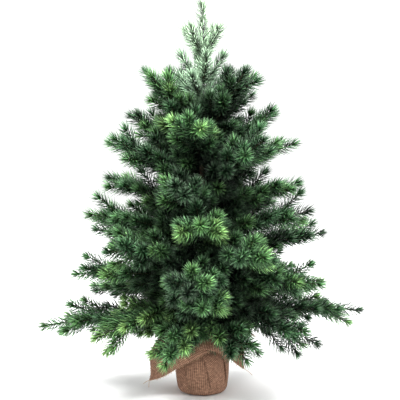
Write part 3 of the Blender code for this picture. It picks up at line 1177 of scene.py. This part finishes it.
@dataclass
class Burlap:
    """The burlap square: under the cup, up its wall in folded pleats, tied at the neck, corners hanging."""

    side: float = 0.345
    centre_shift: float = 0.018
    rows: int = 150
    thickness: float = 0.9 * MM
    pleats: int = 7
    pleat_phase_deg: float = 263.0
    most_layers: float = 3.0
    fan_run: float = 0.032
    fan_share: float = 0.85
    thread_radius: float = 0.35 * MM
    thread_lengths: tuple[float, float] = (1.0 * MM, 3.2 * MM)
    stray_thread: float = 14.0 * MM
    corners: tuple[Corner, ...] = (
        Corner(azimuth_deg=9.0, level_run=0.066, drop_deg=-52.0, flare_deg=-30.0),
        Corner(azimuth_deg=101.0, level_run=0.046, drop_deg=-58.0, flare_deg=-40.0),
        Corner(azimuth_deg=202.0, level_run=0.042, drop_deg=-70.0, flare_deg=-30.0),
        Corner(azimuth_deg=318.0, level_run=0.052, drop_deg=-64.0, flare_deg=-36.0),
    )
    # How the cloth lies past the tie: it rises, levels off, and falls beyond its level run. These hold
    # halfway between two corners, and each corner's own values within its reach of directions.
    rise_deg: float = 58.0
    level_deg: float = -12.0
    edge_run: float = 0.034
    edge_fall_deg: float = -30.0
    corner_reach_deg: float = 52.0
    corner_power: float = 0.8
    # A corner's flare starts this far past the tie, and takes this long.
    flare_run: tuple[float, float] = (0.098, 0.030)
    fall_steps: int = 46
    # How far folds stand out: on the cup's wall, past the tie, and in the slow waves there.
    wall_fold: float = 2.4 * MM
    open_fold: float = 9.0 * MM
    wave: float = 3.5 * MM
    lowest: float = 1.0 * MM
    # The cloth's outside from the floor to the top of the tie, as radius and height.
    profile: tuple[tuple[float, float], ...] = (
        (0.0, 0.0012), (0.030, 0.0012), (0.0352, 0.0030), (0.0382, 0.0085), (0.0390, 0.020), (0.0390, 0.052),
        (0.0370, 0.062), (0.0300, 0.0715), (0.0190, 0.0795), (0.0118, 0.0830), (0.0112, 0.0905),
    )

    def turned(self, flat_turn: Array) -> Array:
        """Turns directions on the flat square into azimuths, so that each corner points its own way.

        Args:
            flat_turn: The directions on the flat square, in radians.

        Returns:
            The azimuths, in radians.
        """
        knots = np.radians([-225.0, -135.0, -45.0, 45.0, 135.0, 225.0, 315.0, 405.0])
        ends = np.radians([corner.azimuth_deg for corner in self.corners])
        around = np.concatenate([ends[1:] - math.tau, ends, ends[:1] + math.tau])
        smooth = np.interp(flat_turn, knots, around)
        for step in (-0.35, -0.2, 0.2, 0.35):
            smooth = smooth + np.interp(flat_turn + step, knots, around) - step
        return smooth / 5.0

    def fall(self, flat_turn: Array, run: Array) -> tuple[Array, Array]:
        """Returns how far out and up the cloth is, at a distance past the neck.

        Args:
            flat_turn: The direction on the flat square, in radians.
            run: The distance past the neck.

        Returns:
            The radius added and the height added.
        """
        out = np.zeros_like(run)
        rise = np.zeros_like(run)
        weights = []
        for index in range(len(self.corners)):
            away = (np.degrees(flat_turn) - (45.0 + 90.0 * index) + 180.0) % 360.0 - 180.0
            weights.append(np.clip(1.0 - np.abs(away) / self.corner_reach_deg, 0.0, 1.0) ** self.corner_power)
        total = np.maximum(sum(weights), 1e-6)
        pull = np.clip(total, 0.0, 1.0)

        def blended(key: str, between: float) -> Array:
            """Returns a corner value by direction, with its value between two corners."""
            shares = [weight * getattr(corner, key) for weight, corner in zip(weights, self.corners)]
            return between + (sum(shares) / total - between) * pull

        level = blended("level_run", self.edge_run)
        drop = blended("drop_deg", self.edge_fall_deg)
        flare = blended("flare_deg", self.edge_fall_deg)
        for part in (np.arange(self.fall_steps) + 0.5) / self.fall_steps:
            here = run * part
            bent = np.clip(here / level, 0.0, 1.0)
            angle = self.rise_deg + (self.level_deg - self.rise_deg) * np.clip(bent * 1.4, 0.0, 1.0)
            over = np.clip((here - 0.75 * level) / (0.5 * level), 0.0, 1.0)
            angle = angle + (drop - angle) * eased(over)
            late = np.clip((here - self.flare_run[0]) / self.flare_run[1], 0.0, 1.0)
            angle = np.radians(angle + (flare - drop) * late)
            out = out + np.cos(angle) * run / self.fall_steps
            rise = rise + np.sin(angle) * run / self.fall_steps
        return out, rise

    def shape(self) -> tuple[Array, Array]:
        """Folds the flat square.

        Returns:
            The folded points and the flat ones, both on the same square grid of rows.
        """
        line = np.linspace(-0.5, 0.5, self.rows + 1) * self.side
        flat_x, flat_y = np.meshgrid(line, line, indexing="ij")
        shift = self.centre_shift / math.sqrt(2.0)
        flat_x, flat_y = flat_x - shift, flat_y - shift
        run = np.maximum(np.hypot(flat_x, flat_y), 1e-6)
        turn = np.arctan2(flat_y, flat_x)
        outline = np.array(self.profile)
        walked = np.concatenate([[0.0], np.cumsum(np.linalg.norm(np.diff(outline, axis=0), axis=1))])
        neck = walked[-1]
        radius = np.interp(run, walked, outline[:, 0])
        height = np.interp(run, walked, outline[:, 1])
        past = np.maximum(run - neck, 0.0)
        out, rise = self.fall(turn, past)
        radius, height = radius + out, height + rise
        # Past the square's nearest edge only the corners are left, and they open out flat.
        fan_start = 0.5 * self.side + shift
        fanned = np.clip((run - fan_start) / self.fan_run, 0.0, 1.0)
        spread = 1.0 + self.fan_share * fanned * (run / np.maximum(radius, 1e-6) - 1.0)
        slack = np.clip(run / np.maximum(radius, 1e-6) / spread, 1.0, self.most_layers)
        open_up = np.clip(past / 0.035, 0.0, 1.0)
        around = self.turned(turn)
        period = math.tau / self.pleats
        phase = (around - math.radians(self.pleat_phase_deg)) / period
        count = np.floor(phase)
        cloth = (phase - count) * slack
        forward = (slack + 1.0) / 2.0
        back = (slack - 1.0) / 2.0
        second = cloth - forward / 2.0
        third = second - back
        returned = np.where(third < 0.0, forward / 2.0 - second, forward / 2.0 - back + third)
        place = np.where(second < 0.0, cloth, returned)
        layer = np.where(second < 0.0, 0.0, np.where(third < 0.0, second / np.maximum(back, 1e-6), 1.0))
        settle = np.clip((place - forward / 2.0) / np.maximum(1.0 - forward / 2.0, 0.15), 0.0, 1.0)
        layer = np.where(third > 0.0, 1.0 - eased(settle), layer)
        azimuth = math.radians(self.pleat_phase_deg) + (count + place) * period
        ends = np.radians([corner.azimuth_deg for corner in self.corners])
        nearest = np.round((turn - math.pi / 4) / (math.pi / 2)).astype(int) % 4
        away = (azimuth - ends[nearest] + math.pi) % math.tau - math.pi
        azimuth = azimuth + away * (spread - 1.0)
        # The pleats carry each corner off to one side, so its flap is turned back to where it points.
        tips = azimuth[(-1, 0, 0, -1), (-1, -1, 0, 0)]
        carried = (tips - ends + math.pi) % math.tau - math.pi
        azimuth = azimuth - fanned**0.7 * carried[nearest]
        wall = np.clip((run - 0.040) / 0.025, 0.0, 1.0)
        lift = layer * (wall * self.wall_fold + open_up * self.open_fold)
        lift = lift + open_up * self.wave * np.sin(5.0 * turn + 90.0 * past)
        waist = np.exp(-(((run - neck + 4.0 * MM) / (6.0 * MM)) ** 2))
        lift = lift * (1.0 - 0.55 * waist)
        lean = 0.5 * np.clip(past / 0.03, 0.0, 1.0)
        radius = radius + lift * np.sqrt(1.0 - lean**2)
        height = height + lift * lean
        points = np.stack([radius * np.cos(azimuth), radius * np.sin(azimuth), height], axis=-1)
        for _ in range(3):
            points[1:-1, 1:-1] = 0.5 * points[1:-1, 1:-1] + 0.125 * (
                points[2:, 1:-1] + points[:-2, 1:-1] + points[1:-1, 2:] + points[1:-1, :-2]
            )
        points[..., 2] = np.maximum(points[..., 2], self.lowest)
        return points, np.stack([flat_x, flat_y, 0.0 * flat_x], axis=-1)

    def fringe(self, points: Array, material: Material) -> Piece:
        """Builds the frayed threads that stand out along the cut edges, and a longer one at each corner.

        Args:
            points: The folded cloth's points, on their square grid.
            material: The threads' material.

        Returns:
            The fringe's piece.
        """
        draw = np.random.default_rng(11)
        soup = Soup()
        share = np.linspace(0.0, 1.0, 5)[:, None]
        turned = points.transpose(1, 0, 2)
        edges = [(grid[end], grid[inside]) for grid in (points, turned) for end, inside in ((0, 1), (-1, -2))]
        for edge, inner in edges:
            outward = unit(edge - inner)
            sideways = unit(np.gradient(edge, axis=0))
            for index in range(len(edge)):
                at_corner = index == 0
                length = self.stray_thread if at_corner else draw.uniform(*self.thread_lengths)
                lean = outward[index] + draw.normal(0.0, 0.30) * sideways[index] + draw.normal(0.0, 0.12, 3)
                path = edge[index] + (share * length - 0.8 * MM) * lean - 0.25 * length * share**2 * UP
                path[:, 2] = np.maximum(path[:, 2], self.thread_radius)
                soup.add(*tube(path, self.thread_radius, 4), 0)
        made = soup.piece("burlap_fringe", [material])
        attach(made, "base")
        report(made)
        return made

    def build(self, yarn: Material) -> Piece:
        """Builds the cloth and its fringe.

        Args:
            yarn: The frayed threads' material.

        Returns:
            The cloth's piece.
        """
        points, flat = self.shape()
        fringe = self.fringe(points, yarn)
        rows = self.rows + 1
        index = np.arange(rows * rows).reshape(rows, rows)
        quads = (index[:-1, :-1], index[:-1, 1:], index[1:, 1:], index[1:, :-1])
        faces = np.stack(quads, axis=-1).reshape(-1, 4)
        cloth = surface_piece("burlap_cloth", points.reshape(-1, 3), faces, BurlapFinish().material())
        stored = cloth.data.attributes.new("flat", "FLOAT_VECTOR", "POINT")
        stored.data.foreach_set("vector", flat.reshape(-1).astype(np.float32))
        thick = cloth.modifiers.new("thickness", "SOLIDIFY")
        thick.thickness = self.thickness
        thick.offset = 0.0
        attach(cloth, "base")
        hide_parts("burlap_wrap")
        report(cloth)
        return cloth


# ---- Studio ----


@dataclass
class Studio:
    """The floor, the soft lights and the camera."""

    distance: float = 1.70
    camera_height: float = 0.46
    aim_height: float = 0.2995
    view_width: float = 0.612
    # A small shift puts the tree as far left of the middle as it stands.
    shift: float = -0.006
    floor_size: float = 12.0
    floor_colour: str = "F4F4F4"
    sky_strength: float = 1.15
    # Each lamp's name, place, side in metres and power in watts.
    lamps: tuple[tuple[str, Place, float, float], ...] = (
        ("key", (-0.7, -1.2, 2.1), 0.9, 60.0),
        ("fill", (1.4, -1.3, 1.3), 1.2, 22.0),
        ("rim", (0.5, 1.2, 1.7), 1.0, 40.0),
    )
    lamp_aim: Place = (0.0, 0.0, 0.25)

    def build(self) -> None:
        """Builds the floor, the world's light, the lamps and the camera."""
        scene = bpy.context.scene
        scene.view_settings.view_transform = "Standard"
        world = bpy.data.worlds.new("studio")
        world.use_nodes = True
        background = world.node_tree.nodes["Background"]
        background.inputs["Color"].default_value = (1.0, 1.0, 1.0, 1.0)
        background.inputs["Strength"].default_value = self.sky_strength
        scene.world = world
        self.floor()
        for lamp in self.lamps:
            self.lamp(*lamp)
        self.camera()

    def stand(self, made: Piece, place: Place, aim: Place) -> None:
        """Puts a lamp or the camera in its place, facing a point.

        Args:
            made: The lamp or the camera.
            place: Where it stands.
            aim: What it faces.
        """
        made.location = place
        made.rotation_euler = (Vector(aim) - Vector(place)).to_track_quat("-Z", "Y").to_euler()

    def floor(self) -> None:
        """Builds the floor sheet."""
        half = self.floor_size / 2
        mesh = bpy.data.meshes.new("studio_floor")
        corners = [(-half, -half, 0), (half, -half, 0), (half, half, 0), (-half, half, 0)]
        mesh.from_pydata(corners, [], [(0, 1, 2, 3)])
        shader = Shader("matt_white_paper")
        mesh.materials.append(shader.finish(Base_Color=linear(self.floor_colour), Roughness=0.9))
        linked("studio_floor", mesh)

    def lamp(self, name: str, place: Place, size: float, power: float) -> None:
        """Adds a soft square lamp that faces the tree.

        Args:
            name: The lamp's name.
            place: Where it stands.
            size: The side of its square.
            power: Its power in watts.
        """
        data = bpy.data.lights.new(name, "AREA")
        data.shape = "SQUARE"
        data.size = size
        data.energy = power
        self.stand(linked(name, data), place, self.lamp_aim)

    def camera(self) -> None:
        """Adds the camera, a little above the middle of the tree."""
        data = bpy.data.cameras.new("camera")
        data.sensor_width = 36.0
        data.lens = data.sensor_width * self.distance / self.view_width
        data.shift_x = self.shift
        camera = linked("camera", data)
        self.stand(camera, (0.0, -self.distance, self.camera_height), (0.0, 0.0, self.aim_height))
        bpy.context.scene.camera = camera


PALE_NEEDLES = NeedleFinish("pale_pe_needles", old="3A4F40", middle="566E59", young="7A9077", fresh="A2B39B")
THIN_BRUSH = Brush(
    whorl_pitch=2.9 * MM,
    length=17.0 * MM,
    tip_length=16.0 * MM,
    width=1.8 * MM,
    splay_deg=50.0,
    shaded_share=1.0,
)
INSIDE_FINISHES = {"base_cup": CupFinish(), "cement_weight": CementFinish(), "trunk_pole": PoleFinish()}
# How fresh the branches' tips are: their middle and their scatter, and the least and the most.
BRANCH_FRESH = (0.45, 0.28)
BRANCH_FRESH_RANGE = (0.05, 1.0)
BRANCH_SEED = 5


def main() -> None:
    """Builds every piece in order."""
    logging.basicConfig(level=logging.INFO, format="%(message)s")
    Studio().build()
    materials = [NeedleFinish().material(), StemFinish().material()]
    brush = Brush()
    pivots = {joint["child"]: np.array(joint["pos_m"], float) for joint in frame["joints"]}
    draw = np.random.default_rng(BRANCH_SEED)
    for name in sorted(frame["nodes"]):
        if "_branch_" not in name:
            continue
        tier, number = (int(part) for part in name.replace("tier_", "").split("_branch_"))
        branch = Branch(tier, number)
        fresh = float(np.clip(draw.normal(*BRANCH_FRESH), *BRANCH_FRESH_RANGE))
        branch.build(pivots[branch.body], fresh, brush, materials)
    trunk = Trunk()
    trunk.tape(TapeFinish().material())
    lacquered = LacquerFinish().material()
    for name in sorted(frame["nodes"]):
        if name.endswith("_binding"):
            trunk.coil(int(name.split("_")[1]), lacquered)
    yarn = JuteFinish().material()
    NeckTie().build(yarn)
    Burlap().build(yarn)
    for name, finish in INSIDE_FINISHES.items():
        frame["nodes"][name].data.materials[0] = finish.material()
        LOG.info("%s: %s", name, finish.name)
    Leader().build(THIN_BRUSH, [PALE_NEEDLES.material(), materials[1]])


if __name__ == "__main__":
    main()
